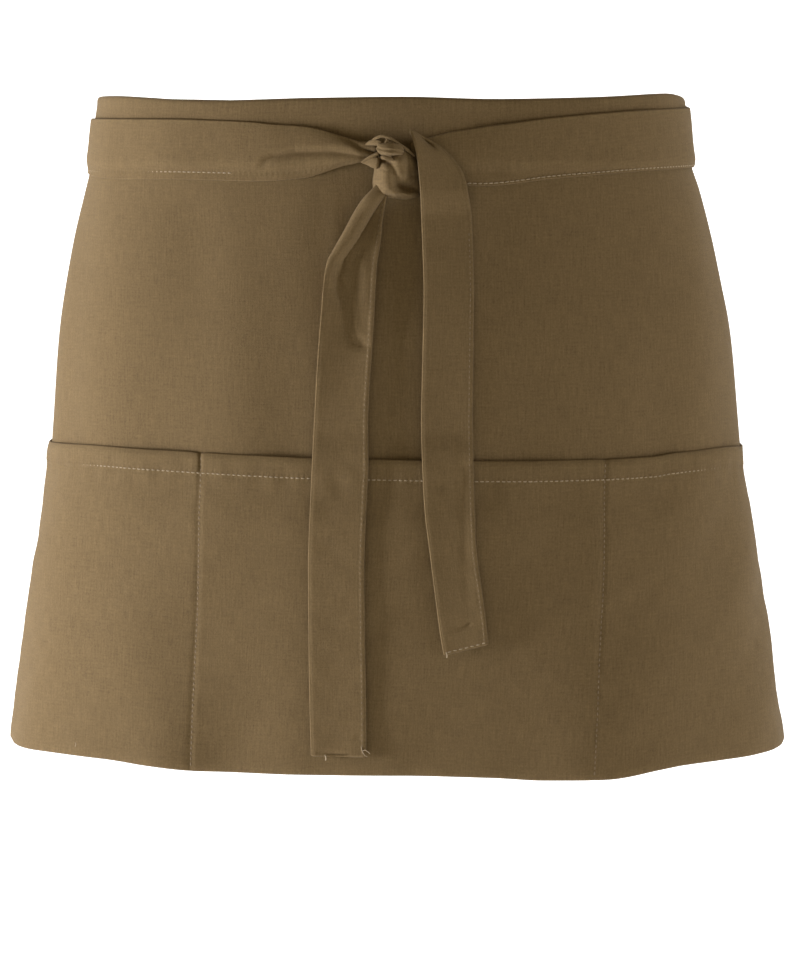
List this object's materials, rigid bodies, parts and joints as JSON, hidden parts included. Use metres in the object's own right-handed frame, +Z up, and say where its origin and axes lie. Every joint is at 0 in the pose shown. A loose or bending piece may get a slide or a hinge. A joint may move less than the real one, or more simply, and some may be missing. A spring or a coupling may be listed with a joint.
{
  "type": "waist apron",
  "caption": "Short waist apron with a row of wide open-topped pockets, a folded waistband and ties that cross behind and knot in front, worn shape.",
  "frame": {"origin": "middle of the wearer's waist, halfway up the waistband", "axes": "+X to the right of the front view, +Y from the front of the body to its back, +Z up"},
  "size_m": [0.3951, 0.2127, 0.3362],
  "materials": {
    "cloth": "matt plain-weave brown poly-cotton",
    "band": "matt plain-weave brown poly-cotton, folded and stitched",
    "tie": "matt plain-weave brown poly-cotton, folded and edge-stitched"
  },
  "bodies": {
    "root": {"skirt_panel": "cloth", "pocket_panel": "cloth", "waistband": "band", "tie_left": "tie", "tie_right": "tie", "knot": "tie", "tail_left": "tie", "tail_right": "tie"}
  },
  "joints": []
}
